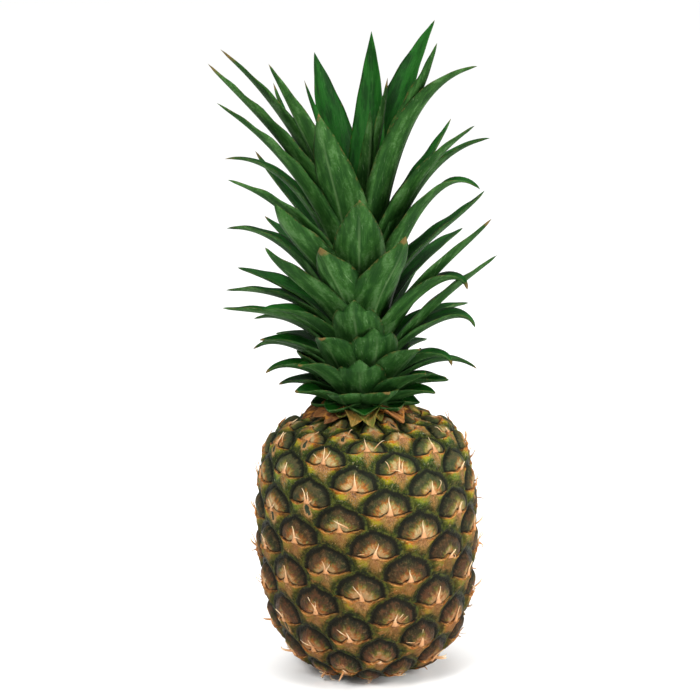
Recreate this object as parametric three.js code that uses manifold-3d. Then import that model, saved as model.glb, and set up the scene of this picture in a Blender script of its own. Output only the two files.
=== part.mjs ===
// A pineapple standing on its base: the fruit with its spiral of eyes, the leafy crown, and the stalk's
// cut end. Millimetres, +Z up. The origin is the middle of the flat spot that it stands on, and the front
// is towards -Y.
import * as THREE from "three";
import { mergeVertices } from "three/addons/utils/BufferGeometryUtils.js";
import Module from "manifold-3d";

const wasm = await Module();
wasm.setup();

// Driving dimensions of the fruit
const FRUIT_PROFILE = [
  // radius and height of the crest line, from the middle of the top to the middle of the base
  [0, 147.4],
  [16, 147],
  [21.5, 145.6],
  [26, 142.8],
  [31, 141],
  [37, 140],
  [44.6, 137.5],
  [50.8, 132.3],
  [55.5, 123.2],
  [58.9, 108.6],
  [60, 91],
  [59.8, 72.7],
  [57.6, 47.8],
  [53.4, 31.4],
  [46.4, 17.4],
  [39.7, 9.5],
  [30.6, 3],
  [19, -0.6],
  [0, -1.6],
];
const FOOT = { radius: 19, depth: 8, sides: 32 }; // the flat spot
const STALK = { radius: 12, length: 7, sides: 32 };
const SEAT = { radius: 17.4, floor: 142.6, depth: 8, sides: 24 }; // the round seat that the crown grows from
const CLEARANCE = 0.35; // between pieces that touch
const GROUND = { radius: 90, depth: 10, sides: 16 }; // what lies below the flat spot is cut away

// The eyes sit in opposite pairs, a pair a level, and each level is turned from the one above it.
const LEVELS = 64;
const LEVEL_TURN = 68.44;
const FIRST_TURN = 102.36; // degrees to the right of the front
const FIRST_ALONG = 21.75; // distance down the skin from the middle of the top
const LEVEL_STEP = 2.346; // distance down the skin to the next level
const STEP_GROWTH = 0.0077; // and what it gains on the way down
const NEIGHBOURS = [
  // levels down and half turns to the six eyes around an eye, anticlockwise from its right
  { down: 5, half: 2 },
  { down: -3, half: -1 },
  { down: -8, half: -3 },
  { down: -5, half: -2 },
  { down: 3, half: 1 },
  { down: 8, half: 3 },
];

// The relief of an eye, in heights above the groove round it
const EYE_RELIEF = 3.4;
const EYE_RING = { at: 0.68, dome: 3, ledge: 3.3, bract: 2.8 };
const FULL_EYE_RADIUS = 40; // nearer the axis the eyes are flatter
const DOME_BOW = 0.09; // how far an eye's upper edges bow outwards, as a share of the way to the next eye
const SPINE = { up: 9, out: 2.6, halfWidth: 2.4, above: 0.6, below: 2.4, sunk: 0.5, leastShare: 0.3 };
const SPINE_GROWTH = { from: 26, to: 44 }; // how far from the axis the spines start and are full

// Driving dimensions of the crown, whose heights count from the fruit's shoulder
const CROWN_HEIGHT = 139.3;
const STEM_SIDES = 12;
const STEM_PROFILE = [
  // radius and height, from the foot to the growing tip
  [17, 3.7],
  [17, 14],
  [15.5, 40],
  [12, 75],
  [7.5, 106],
  [2.5, 128],
];
const LEAF_TABLE = [
  // degrees right of the front, tip reach, tip height, width, slope at the tip, foot height, and bluntness
  [-150, 45, 195, 28, 72, 74, 3],
  [160, 25, 207, 24, 88, 86, 2.6],
  [140, 66, 210, 28, 52, 78, 3],
  [54, 52, 204, 25, 66, 80, 2.6],
  [61, 71, 191, 30, 8, 66, 3],
  [55, 19, 185, 11, 84, 108, 2.4],
  [30, 14, 169, 12, 86, 106, 2.4],
  [-66, 84, 196, 26, 44, 62, 2.6],
  [-73, 72, 203, 26, 46, 70, 2.6],
  [-50, 57, 196, 26, 64, 76, 2.8],
  [-125, 34, 182, 10, 70, 92, 2.4],
  [-24, 50, 171, 30, 70, 62, 3.2],
  [-62, 81, 177, 23, 36, 54, 2.6],
  [64, 67, 161, 28, 32, 54, 2.6],
  [76, 70, 154, 25, 14, 50, 2.6],
  [64, 69, 127, 27, -46, 40, 2.8],
  [72, 73, 111, 24, 42, 28, 2.6],
  [82, 73, 90, 22, 36, 22, 2.6],
  [72, 59, 74, 25, -72, 32, 4.2],
  [88, 60, 50, 22, -74, 24, 4],
  [72, 49, 32, 21, -80, 17, 3.4],
  [100, 62, 24, 17, -50, 13, 2.4],
  [90, 46, 20, 20, -12, 9, 3.6],
  [-98, 72, 142, 20, -8, 54, 2.6],
  [-64, 75, 137, 24, 24, 48, 2.6],
  [-98, 72, 105, 27, -6, 34, 2.6],
  [-60, 58, 100, 30, 56, 34, 3.2],
  [-52, 56, 124, 33, 70, 44, 3.8],
  [-26, 47, 102, 32, 62, 37, 3.6],
  [-102, 75, 70, 22, -6, 31, 2.6],
  [-88, 75, 63, 21, 2, 28, 2.6],
  [-70, 57, 64, 26, -16, 27, 2.8],
  [-106, 61, 54, 22, -20, 24, 2.6],
  [-86, 55, 47, 22, 4, 20, 2.8],
  [-98, 60, 39, 20, -36, 17, 2.6],
  [-80, 53, 29, 22, -40, 13, 2.8],
  [-95, 46, 21, 20, -10, 10, 3],
  [0, 50, 127, 30, 78, 45, 4.6],
  [27, 52, 107, 31, 66, 37, 3.6],
  [-8, 37, 72, 28, 66, 24, 6],
  [12, 36, 57, 29, 62, 17, 6],
  [-4, 36, 39, 28, 55, 9, 6],
  [-30, 44, 53, 26, 22, 15, 4.6],
  [40, 46, 46, 27, 28, 13, 4.2],
  [-48, 46, 38, 25, 10, 9, 3.6],
  [46, 46, 31, 24, 12, 8, 4],
  [-22, 34, 21, 24, 40, 6, 4.6],
  [22, 35, 22, 25, 40, 6, 4.6],
  [-62, 42, 20, 22, -4, 6, 3.6],
  [64, 42, 19, 22, 0, 6, 3.6],
];
// The lowest leaves stand in an even ring.
const LOWEST_LEAVES = { count: 9, reach: 30, tip: 11, width: 22, tipSlope: 24, foot: 5.6, bluntness: 4.4 };
// The leaves on the far side follow a rule: each stands a step higher than the last and at another bearing.
const FAR_LEAVES = {
  count: 22,
  turn: { middle: 180, spread: 78, step: 0.618 },
  tip: { lowest: 20, step: 7.7 },
  reach: { least: 46, gain: 27 },
  width: { lowest: 22, highest: 18 },
  tipSlope: { lowest: -14, highest: 76 },
  foot: { base: 3, share: 0.36 },
  bluntness: 3,
};
const LEAF_SECTION_LENGTH = 19;
const LEAF_SECTIONS = { least: 3, most: 6 };
const LEAF_HANDLES = { foot: 0.42, tip: 0.3 }; // how far its ends steer a leaf's bend, as shares of its span
const FOOT_SLOPE = { base: 26, rise: 1.5, least: 30, most: 82 }; // a leaf with a higher foot starts steeper
const LEAF_ROOT = 0.4; // how near the axis a leaf's foot starts, as a share of the stem's radius there
const LEAF_THICKNESS = { foot: 3, tip: 1.3, edge: 0.8 };
const LEAF_TIP_HALF_WIDTH = 0.6;
const LEAF_CHANNEL = 0.22; // how far a leaf's edges curl up, as a share of its width

const radians = THREE.MathUtils.degToRad;

// A unit vector that points away from the axis, at a bearing in degrees to the right of the front
function outward(turn) {
  return new THREE.Vector3(Math.sin(radians(turn)), -Math.cos(radians(turn)), 0);
}

function solidFrom(geometry) {
  geometry.deleteAttribute("normal");
  geometry.deleteAttribute("uv");
  const merged = mergeVertices(geometry, 1e-4);
  const mesh = new wasm.Mesh({
    numProp: 3,
    vertProperties: new Float32Array(merged.attributes.position.array),
    triVerts: new Uint32Array(merged.index.array),
  });
  return new wasm.Manifold(mesh);
}

// The largest closed surface of a solid, so that small pockets shut in between its parts are filled
function outerBody(solid) {
  return solid.decompose().reduce((largest, body) => (body.volume() > largest.volume() ? body : largest));
}

function geometryFrom(solid) {
  const mesh = solid.getMesh();
  const geometry = new THREE.BufferGeometry();
  geometry.setAttribute("position", new THREE.BufferAttribute(new Float32Array(mesh.vertProperties), 3));
  geometry.setIndex(new THREE.BufferAttribute(new Uint32Array(mesh.triVerts), 1));
  return geometry;
}

// Triangles given by their corners, as one geometry
function geometryOfTriangles(triangles) {
  const points = triangles.flat().flatMap((point) => [point.x, point.y, point.z]);
  const geometry = new THREE.BufferGeometry();
  geometry.setAttribute("position", new THREE.Float32BufferAttribute(points, 3));
  return geometry;
}

// A round plug standing on the given height
function plug(radius, bottom, length, sides) {
  const geometry = new THREE.CylinderGeometry(radius, radius, length, sides);
  geometry.rotateX(Math.PI / 2);
  geometry.translate(0, 0, bottom + length / 2);
  return geometry;
}

// The skin of the fruit as a surface: a bearing, and a distance down the profile from the middle of the top.
const profile = new THREE.SplineCurve(FRUIT_PROFILE.map(([r, z]) => new THREE.Vector2(r, z)));
profile.arcLengthDivisions = 400;
const PROFILE_LENGTH = profile.getLength();

// A point of the skin at a height above the grooves
function skinPoint({ turn, along }, height) {
  const u = THREE.MathUtils.clamp(along / PROFILE_LENGTH, 0, 1);
  const point = profile.getPointAt(u);
  const tangent = profile.getTangentAt(u);
  const fullness = Math.min(1, point.x / FULL_EYE_RADIUS);
  const raise = height * fullness - EYE_RELIEF;
  return outward(turn)
    .multiplyScalar(point.x - tangent.y * raise)
    .setZ(point.y + tangent.x * raise);
}

// The middle of an eye, by its level and its half turn
function eyeMiddle(level, half) {
  return {
    turn: FIRST_TURN - LEVEL_TURN * level + 180 * half,
    along: FIRST_ALONG + LEVEL_STEP * level + STEP_GROWTH * level * level,
  };
}

function mean(places) {
  const total = (key) => places.reduce((sum, place) => sum + place[key], 0) / places.length;
  return { turn: total("turn"), along: total("along") };
}

function between(from, to, share) {
  return {
    turn: from.turn + (to.turn - from.turn) * share,
    along: from.along + (to.along - from.along) * share,
  };
}

// The twelve places round an eye, where it meets its neighbours
function eyeOutline(middle, neighbours) {
  const corners = neighbours.map((near, i) => mean([middle, near, neighbours[(i + 1) % 6]]));
  return neighbours.flatMap((near, i) => {
    const straight = mean([corners[(i + 5) % 6], corners[i]]);
    const isAbove = near.along < middle.along;
    const bowed = between(middle, near, isAbove ? DOME_BOW : -DOME_BOW);
    const edge = {
      turn: straight.turn + bowed.turn - middle.turn,
      along: straight.along + bowed.along - middle.along,
    };
    return [edge, corners[i]];
  });
}

// An eye as triangles: a groove round it, then a dome above, a ledge at the sides and a bract below. The
// bract's dry point rises from the middle as a three-sided spine that leans up over the dome.
function eyeTriangles(level, half) {
  const middle = eyeMiddle(level, half);
  const neighbours = NEIGHBOURS.map((step) => eyeMiddle(level + step.down, half + step.half));
  const outline = eyeOutline(middle, neighbours);
  const { dome, ledge, bract, at } = EYE_RING;
  const heights = [bract, ledge, dome, dome, dome, dome, dome, ledge, bract, bract, bract, bract];
  const groove = outline.map((place) => skinPoint(place, 0));
  const ring = outline.map((place, i) => skinPoint(between(middle, place, at), heights[i]));
  const { right, left, front, tip } = spine(middle);
  const inner = [right, right, right, right, right, left, left, left, left, front, front, front];
  const sides = outline.flatMap((_, i) => {
    const next = (i + 1) % outline.length;
    const round = [
      [groove[i], groove[next], ring[next]],
      [groove[i], ring[next], ring[i]],
      [ring[i], ring[next], inner[i]],
    ];
    return inner[i] === inner[next] ? round : [...round, [ring[next], inner[next], inner[i]]];
  });
  return [...sides, [right, left, tip], [left, front, tip], [front, right, tip]];
}

// The four corners of an eye's spine: three in the skin round the middle of the eye, and its tip
function spine(middle) {
  const radius = skinPoint(middle, 0).setZ(0).length();
  const growth = THREE.MathUtils.clamp(
    THREE.MathUtils.mapLinear(radius, SPINE_GROWTH.from, SPINE_GROWTH.to, 0, 1), 0, 1);
  const size = THREE.MathUtils.lerp(SPINE.leastShare, 1, growth);
  const sideways = THREE.MathUtils.radToDeg((SPINE.halfWidth * size) / radius);
  const { turn, along } = middle;
  const foot = EYE_RELIEF - SPINE.sunk;
  return {
    right: skinPoint({ turn: turn + sideways, along: along - SPINE.above * size }, foot),
    left: skinPoint({ turn: turn - sideways, along: along - SPINE.above * size }, foot),
    front: skinPoint({ turn, along: along + SPINE.below * size }, foot),
    tip: skinPoint({ turn, along: along - SPINE.up * growth }, EYE_RELIEF + SPINE.out * growth),
  };
}

// Directed edges that only one triangle has, keyed by where they start
function openEdges(triangles) {
  const name = (point) => point.toArray().map((value) => value.toFixed(3)).join();
  const edges = new Map();
  for (const triangle of triangles) {
    triangle.forEach((start, i) => {
      const end = triangle[(i + 1) % 3];
      edges.set(name(start) + ">" + name(end), [start, end]);
    });
  }
  return [...edges.values()].filter(([start, end]) => !edges.has(name(end) + ">" + name(start)));
}

// The skin is closed at the top and at the base, straight to the axis.
function closingTriangles(triangles) {
  const topMiddle = new THREE.Vector3(0, 0, FRUIT_PROFILE[0][1] - EYE_RELIEF);
  const baseMiddle = new THREE.Vector3(0, 0, FRUIT_PROFILE.at(-1)[1] + EYE_RELIEF);
  return openEdges(triangles).map(([start, end]) => {
    return [end, start, start.z > SEAT.floor / 2 ? topMiddle : baseMiddle];
  });
}

function makeFruit() {
  const levels = [...Array(LEVELS).keys()];
  const eyes = levels.flatMap((level) => [0, 1].map((half) => ({ level, half })));
  const skin = eyes.flatMap(({ level, half }) => eyeTriangles(level, half));
  const body = solidFrom(geometryOfTriangles([...skin, ...closingTriangles(skin)]));
  const foot = solidFrom(plug(FOOT.radius, 0, FOOT.depth, FOOT.sides));
  const ground = solidFrom(plug(GROUND.radius, -GROUND.depth, GROUND.depth, GROUND.sides));
  const holeTop = STALK.length + CLEARANCE;
  const hole = solidFrom(plug(STALK.radius + CLEARANCE, -GROUND.depth, GROUND.depth + holeTop, STALK.sides));
  const seat = solidFrom(plug(SEAT.radius, SEAT.floor, SEAT.depth, SEAT.sides));
  return body.add(foot).subtract(ground).subtract(hole).subtract(seat);
}

// The stem's radius at a height
function stemRadius(height) {
  const after = STEM_PROFILE.findIndex(([, z]) => z > height);
  const [r0, z0] = STEM_PROFILE[after - 1];
  const [r1, z1] = STEM_PROFILE[after];
  return THREE.MathUtils.mapLinear(height, z0, z1, r0, r1);
}

// A leaf: its midrib is a curve in the upright plane of its bearing, and its section is a shallow channel.
function leaf([turn, reach, tipHeight, width, tipSlope, footHeight, bluntness]) {
  const foot = new THREE.Vector2(stemRadius(footHeight) * LEAF_ROOT, footHeight);
  const tip = new THREE.Vector2(reach, tipHeight);
  const span = foot.distanceTo(tip);
  const { base, rise, least, most } = FOOT_SLOPE;
  const footSlope = THREE.MathUtils.clamp(base + rise * footHeight, least, most);
  const towards = (slope) => new THREE.Vector2(Math.cos(radians(slope)), Math.sin(radians(slope)));
  const midrib = new THREE.CubicBezierCurve(
    foot,
    foot.clone().addScaledVector(towards(footSlope), span * LEAF_HANDLES.foot),
    tip.clone().addScaledVector(towards(tipSlope), -span * LEAF_HANDLES.tip),
    tip,
  );
  const out = outward(turn);
  const across = outward(turn + 90);
  const wanted = Math.round(midrib.getLength() / LEAF_SECTION_LENGTH);
  const sections = THREE.MathUtils.clamp(wanted, LEAF_SECTIONS.least, LEAF_SECTIONS.most);
  const rows = [...Array(sections + 1).keys()].map((i) => {
    const t = i / sections;
    const place = midrib.getPointAt(t);
    const tangent = midrib.getTangentAt(t);
    const middle = out.clone().multiplyScalar(place.x).setZ(place.y + CROWN_HEIGHT);
    const inner = out.clone().multiplyScalar(-tangent.y).setZ(tangent.x);
    const halfWidth = Math.max(LEAF_TIP_HALF_WIDTH, (width / 2) * leafShare(t, bluntness));
    const rib = THREE.MathUtils.lerp(LEAF_THICKNESS.foot, LEAF_THICKNESS.tip, t) / 2;
    const curl = halfWidth * 2 * LEAF_CHANNEL;
    const corner = (side, lift) => {
      return middle.clone().addScaledVector(across, side * halfWidth).addScaledVector(inner, lift);
    };
    const edge = LEAF_THICKNESS.edge / 2;
    return [
      corner(-1, curl + edge),
      corner(0, rib),
      corner(1, curl + edge),
      corner(1, curl - edge),
      corner(0, -rib),
      corner(-1, curl - edge),
    ];
  });
  return solidFrom(geometryOfTriangles(loft(rows)));
}

// A leaf's width along its length, as a share of the widest
function leafShare(t, bluntness) {
  return (1 - t ** bluntness) * (0.7 + 0.37 * t ** 0.35);
}

// Closed triangles through rows of six corners, split alike on the inner and the outer face
function loft(rows) {
  const triangles = [];
  for (let i = 0; i + 1 < rows.length; i++) {
    const [a, b] = [rows[i], rows[i + 1]];
    const quads = [
      [0, 1, true],
      [1, 2, false],
      [2, 3, true],
      [3, 4, true],
      [4, 5, false],
      [5, 0, true],
    ];
    for (const [j, k, rising] of quads) {
      triangles.push(rising ? [a[j], b[k], a[k]] : [a[j], b[j], a[k]]);
      triangles.push(rising ? [a[j], b[j], b[k]] : [a[k], b[j], b[k]]);
    }
  }
  const capOf = (row) => [
    [row[0], row[1], row[5]],
    [row[1], row[4], row[5]],
    [row[1], row[2], row[4]],
    [row[2], row[3], row[4]],
  ];
  const footCap = capOf(rows[0]);
  const tipCap = capOf(rows.at(-1)).map((corners) => corners.toReversed());
  return [...triangles, ...footCap, ...tipCap];
}

function lowestLeaves() {
  const { count, reach, tip, width, tipSlope, foot, bluntness } = LOWEST_LEAVES;
  return [...Array(count).keys()].map((i) => {
    return [(360 / count) * i, reach, tip, width, tipSlope, foot, bluntness];
  });
}

function farLeaves() {
  const { count, turn, tip, reach, width, tipSlope, foot, bluntness } = FAR_LEAVES;
  return [...Array(count).keys()].map((i) => {
    const share = i / (count - 1);
    const side = ((i * turn.step) % 1) * 2 - 1;
    const tipHeight = tip.lowest + tip.step * i;
    return [
      turn.middle + turn.spread * side,
      reach.least + reach.gain * Math.sin(share * Math.PI),
      tipHeight,
      THREE.MathUtils.lerp(width.lowest, width.highest, share),
      THREE.MathUtils.lerp(tipSlope.lowest, tipSlope.highest, share),
      foot.base + foot.share * tipHeight,
      bluntness,
    ];
  });
}

function makeCrown() {
  const stemOutline = STEM_PROFILE.map(([r, z]) => new THREE.Vector2(r, z + CROWN_HEIGHT));
  const foot = new THREE.Vector2(0, stemOutline[0].y);
  const tip = new THREE.Vector2(0, stemOutline.at(-1).y);
  const stem = new THREE.LatheGeometry([foot, ...stemOutline, tip], STEM_SIDES);
  stem.rotateX(Math.PI / 2);
  const leaves = [...LEAF_TABLE, ...lowestLeaves(), ...farLeaves()].map(leaf);
  return outerBody(wasm.Manifold.union([solidFrom(stem), ...leaves]));
}

// Colours of the pieces
const fruitMaterial = new THREE.MeshStandardMaterial({ color: 0x8a6a2c, roughness: 0.6, metalness: 0 });
const crownMaterial = new THREE.MeshStandardMaterial({ color: 0x2c5f2a, roughness: 0.5, metalness: 0 });
const stalkMaterial = new THREE.MeshStandardMaterial({ color: 0xb08d57, roughness: 0.85, metalness: 0 });

const pineapple = new THREE.Group();
pineapple.name = "pineapple";

const fruit = new THREE.Mesh(geometryFrom(makeFruit()), fruitMaterial);
fruit.name = "fruit";
pineapple.add(fruit);

const crown = new THREE.Mesh(geometryFrom(makeCrown()), crownMaterial);
crown.name = "crown";
pineapple.add(crown);

const stalk = new THREE.Mesh(plug(STALK.radius, 0, STALK.length, STALK.sides), stalkMaterial);
stalk.name = "stalk";
pineapple.add(stalk);

export default pineapple;
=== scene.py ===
# %% [markdown]
# # A pineapple, piece by piece
# The fruit is a spiral of woody eyes, and a tuft of stiff leaves grows out of its top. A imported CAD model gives
# the size and the place of everything, so it is loaded first, and every piece made here is laid on it.

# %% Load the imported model
import math

import bmesh
import bpy
import numpy as np
from mathutils import Matrix, Vector, noise


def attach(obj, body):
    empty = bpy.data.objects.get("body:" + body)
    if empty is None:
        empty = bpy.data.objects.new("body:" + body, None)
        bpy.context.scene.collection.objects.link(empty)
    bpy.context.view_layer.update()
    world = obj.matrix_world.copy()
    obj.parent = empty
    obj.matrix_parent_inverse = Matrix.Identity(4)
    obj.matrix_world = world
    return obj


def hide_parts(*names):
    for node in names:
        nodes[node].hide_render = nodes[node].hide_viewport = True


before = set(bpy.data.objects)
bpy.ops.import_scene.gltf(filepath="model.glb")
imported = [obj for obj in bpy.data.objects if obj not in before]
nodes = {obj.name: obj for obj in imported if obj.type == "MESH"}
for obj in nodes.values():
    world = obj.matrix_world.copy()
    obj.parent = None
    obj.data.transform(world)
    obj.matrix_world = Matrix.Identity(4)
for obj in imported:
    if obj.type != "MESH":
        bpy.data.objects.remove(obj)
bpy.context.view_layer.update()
MM = 0.001

# %% [markdown]
# ## Camera, floor and light
# The photograph was taken with a long lens from a little above. A long lens far away keeps the tall shape
# straight. The camera leans a degree, because the fruit leans in the picture and stands upright in the model.
# The floor is plain and pale, and the light is soft, as from a white tent, with one broad lamp to give form.

# %% The camera
CAMERA_PLACE = Vector((0, -1.3161, 0.4476))
CAMERA_YAW, CAMERA_TILT, CAMERA_LEAN = 0.304, 78.432, -1.361  # degrees
LENS = 129.04


def shown(name, data):
    """A new object with this data, in the scene."""
    made = bpy.data.objects.new(name, data)
    bpy.context.scene.collection.objects.link(made)
    return made


camera = shown("camera", bpy.data.cameras.new("camera"))
camera.data.lens = LENS
turned = Matrix.Rotation(math.radians(CAMERA_YAW), 4, "Z")
tilted = Matrix.Rotation(math.radians(CAMERA_TILT), 4, "X")
leaning = Matrix.Rotation(math.radians(CAMERA_LEAN), 4, "Z")
camera.matrix_world = Matrix.Translation(CAMERA_PLACE) @ turned @ tilted @ leaning
bpy.context.scene.camera = camera
print("the camera is", round(CAMERA_PLACE.length, 2), "m from the foot of the fruit")

# %% A socket that does arithmetic
class Value:
    """One output of a node. Sums and products of values add the Math nodes that work them out."""

    def __init__(self, finish, socket):
        self.finish, self.socket = finish, socket

    def maths(self, operation, first, second=0.0):
        return self.finish.node("ShaderNodeMath", {"operation": operation}, {0: first, 1: second})

    __add__ = __radd__ = lambda self, other: self.maths("ADD", self, other)
    __mul__ = __rmul__ = lambda self, other: self.maths("MULTIPLY", self, other)
    __sub__ = lambda self, other: self.maths("SUBTRACT", self, other)
    __rsub__ = lambda self, other: self.maths("SUBTRACT", other, self)
    __truediv__ = lambda self, other: self.maths("DIVIDE", self, other)
    __pow__ = lambda self, other: self.maths("POWER", self, other)
    size = lambda self: self.maths("ABSOLUTE", self)
    bearing = lambda self, other: self.maths("ARCTAN2", self, other)

    def swing(self, amount):
        """A grain around 0.5 as a sway around 0, by half the amount each way."""
        return (self - 0.5) * amount

    def rise(self, low, high):
        """0 below low, 1 above high, and a soft step between them. High may be the smaller one."""
        ends = {0: self, 1: min(low, high), 2: max(low, high), 3: float(low > high), 4: float(low < high)}
        return self.finish.node("ShaderNodeMapRange", {"interpolation_type": "SMOOTHSTEP"}, ends)

    def grain(self, scale, detail=2.0, roughness=0.5):
        """Soft noise around 0.5 at this place."""
        inputs = {"Vector": self, "Scale": scale, "Detail": detail, "Roughness": roughness}
        return self.finish.node("ShaderNodeTexNoise", {}, inputs)


# %% A finish, made of nodes
def colour(code):
    """A colour written as #rrggbb, as the light that a shader mixes."""
    parts = [int(code[i : i + 2], 16) / 255 for i in (1, 3, 5)]
    return [p / 12.92 if p <= 0.04045 else ((p + 0.055) / 1.055) ** 2.4 for p in parts] + [1.0]


class Finish:
    """A material with one Principled shader, and short names for the nodes that this object needs."""

    def __init__(self, name, **even):
        self.material = bpy.data.materials.new(name)
        self.material.use_nodes = True
        self.tree = self.material.node_tree
        self.shader = self.tree.nodes["Principled BSDF"]
        for socket, number in even.items():
            self.shader.inputs[socket.replace("_", " ")].default_value = number

    def node(self, kind, settings, inputs, output=0):
        made = self.tree.nodes.new(kind)
        for key, value in settings.items():
            setattr(made, key, value)
        for key, value in inputs.items():
            self.feed(made.inputs[key], value)
        return Value(self, made.outputs[output])

    def feed(self, socket, value):
        """Link a value to a socket, or set an even number, or a colour written as #rrggbb, on it."""
        if isinstance(value, Value):
            self.tree.links.new(value.socket, socket)
        else:
            socket.default_value = colour(value) if isinstance(value, str) else value

    def mix(self, share, first, second):
        """From the first colour to the second, by a share from 0 to 1."""
        return self.node("ShaderNodeMix", {"data_type": "RGBA"}, {0: share, 6: first, 7: second}, 2)

    def coats(self, tone, *layers):
        """Layers over a tone, one after another. Each is a share from 0 to 1 and the colour that it brings."""
        for share, over in layers:
            tone = self.mix(share, tone, over)
        return tone

    def vector(self, x, y, z):
        return self.node("ShaderNodeCombineXYZ", {}, {0: x, 1: y, 2: z})

    def parts(self, vector):
        made = self.node("ShaderNodeSeparateXYZ", {}, {0: vector})
        return [Value(self, socket) for socket in made.socket.node.outputs]

    def place(self):
        return self.node("ShaderNodeTexCoord", {}, {}, "Object")

    def map(self, name):
        return self.node("ShaderNodeUVMap", {"uv_map": name}, {})

    def reading(self, name):
        return self.node("ShaderNodeAttribute", {"attribute_name": name}, {}, "Fac")

    def wear(self, base, rough=None, bump=None, depth=0.0003, strength=1.0):
        """Put the colour, the roughness and the small relief on the shader. The depth is in metres."""
        self.feed(self.shader.inputs["Base Color"], base)
        if rough is not None:
            self.feed(self.shader.inputs["Roughness"], rough)
        if bump is not None:
            raised = self.node("ShaderNodeBump", {}, {"Height": bump, "Distance": depth, "Strength": strength})
            self.feed(self.shader.inputs["Normal"], raised)
        return self.material


# %% The floor and the lamps
FLOOR_SIZE = 40


def started(add, name, **shape):
    """A new object, made by one of Blender's add operators with nothing else selected."""
    bpy.ops.object.select_all(action="DESELECT")
    add(**shape)
    bpy.context.object.name = name
    return bpy.context.object


floor = started(bpy.ops.mesh.primitive_plane_add, "floor", size=FLOOR_SIZE)
paper = Finish("floor_paper", Roughness=0.9, Specular_IOR_Level=0.1)
floor.data.materials.append(paper.wear("#fcfcfb"))

WORLD_LIGHT = 0.5
world = bpy.data.worlds.new("white_tent")
world.use_nodes = True
background = world.node_tree.nodes["Background"]
background.inputs["Color"].default_value = (1, 1, 1, 1)
background.inputs["Strength"].default_value = WORLD_LIGHT
bpy.context.scene.world = world
bpy.context.scene.view_settings.view_transform = "Standard"

LAMPS = {
    # place in metres, side of the square, and power in watts
    "key": ((-0.75, -1.3, 1.35), 0.6, 28),
    "fill": ((1.4, -0.9, 0.8), 1.0, 34),
}
CEILING_LIGHT, CEILING_SPREAD = 1.7, 50  # strength, and degrees
AIM = Vector((0, 0, 0.17))
sun = shown("ceiling", bpy.data.lights.new("ceiling", "SUN"))
sun.data.energy, sun.data.angle = CEILING_LIGHT, math.radians(CEILING_SPREAD)
for name, (place, side, power) in LAMPS.items():
    lamp = shown(name, bpy.data.lights.new(name, "AREA"))
    lamp.data.size, lamp.data.energy = side, power
    lamp.location = place
    lamp.rotation_euler = (AIM - Vector(place)).to_track_quat("-Z", "Y").to_euler()
print("lamps:", list(LAMPS))

# %% [markdown]
# ## The skin of the fruit
# A pineapple's skin is one line turned round an axis, with 128 eyes pressed side by side on it. The line is
# drawn first, as a smooth curve through measured points. A place on the skin is then a bearing, in degrees to the
# right of the front, and a distance down the skin from the middle of the top. Laying the eyes out in these two
# numbers keeps them in even spirals on a body that narrows at both ends.

# %% The line that the fruit is turned from
FRUIT_PROFILE = [
    # radius and height in mm, from the middle of the top to the middle of the base
    (0, 147.4), (16, 147), (21.5, 145.6), (26, 142.8), (31, 141), (37, 140), (44.6, 137.5),
    (50.8, 132.3), (55.5, 123.2), (58.9, 108.6), (60, 91), (59.8, 72.7), (57.6, 47.8),
    (53.4, 31.4), (46.4, 17.4), (39.7, 9.5), (30.6, 3), (19, -0.6), (0, -1.6),
]
STEPS_BETWEEN_POINTS = 100


def smooth_line(points):
    """Many points on a curve that passes through the given ones."""
    points = np.array(points, float)
    before = np.concatenate([points[:1], points[:-2]])[:, None]
    start, end = points[:-1, None], points[1:, None]
    after = np.concatenate([points[2:], points[-1:]])[:, None]
    t = (np.arange(STEPS_BETWEEN_POINTS) / STEPS_BETWEEN_POINTS)[None, :, None]
    slope_in, slope_out = (end - before) / 2, (after - start) / 2
    curve = start + slope_in * t + (3 * (end - start) - 2 * slope_in - slope_out) * t**2
    curve = curve + (2 * (start - end) + slope_in + slope_out) * t**3
    return np.concatenate([curve.reshape(-1, 2), points[-1:]])


line = smooth_line(FRUIT_PROFILE)
line_along = np.concatenate([[0], np.cumsum(np.hypot(*np.diff(line, axis=0).T))])
line_slope = np.gradient(line, line_along, axis=0)
print("the skin is", round(line_along[-1], 1), "mm long from top to base")

# %% From a place on the skin to a point
RELIEF = 3.4  # how deep the grooves lie below the crest line, in mm
FULL_EYE_RADIUS = 40  # nearer the axis than this the eyes are flatter


def skin_points(turn, along, height):
    """Points in metres for bearings in degrees, distances down the skin, and heights above the grooves, in mm."""
    radius, rise = (np.interp(along, line_along, line[:, i]) for i in (0, 1))
    slope_r, slope_z = (np.interp(along, line_along, line_slope[:, i]) for i in (0, 1))
    raised = height * np.minimum(1, radius / FULL_EYE_RADIUS) - RELIEF
    out = radius - slope_z * raised
    angle = np.radians(turn)
    return np.stack([out * np.sin(angle), -out * np.cos(angle), rise + slope_r * raised], -1) * MM


# %% [markdown]
# ## Where the eyes sit
# The eyes come in opposite pairs. Each pair is turned 68.44 degrees from the one above it, which is half of the
# well-known golden angle, and this makes the 8, 13 and 21 spirals that people count on a pineapple. The border
# between two eyes is a bowed line through the corners where three eyes meet. Both eyes use the same line, so that
# they close without a gap.

# %% Middles and borders of the eyes
LEVELS = 64
LEVEL_TURN, FIRST_TURN = 68.44, 102.36
FIRST_ALONG, LEVEL_STEP, STEP_GROWTH = 21.75, 2.346, 0.0077
NEIGHBOURS = [(5, 2), (-3, -1), (-8, -3), (-5, -2), (3, 1), (8, 3)]  # levels down and half turns, anticlockwise
DOME_BOW = 0.09  # how far a border bows towards the upper eye, as a share of the way there
EDGE_STEPS = 8
CORNER_SHIFTS = [(-0.76, -1.0), (-0.95, 1.5)]  # degrees and mm by turns, which round the eyes' tops
eyes = [(level, half) for level in range(LEVELS) for half in (0, 1)]


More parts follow.
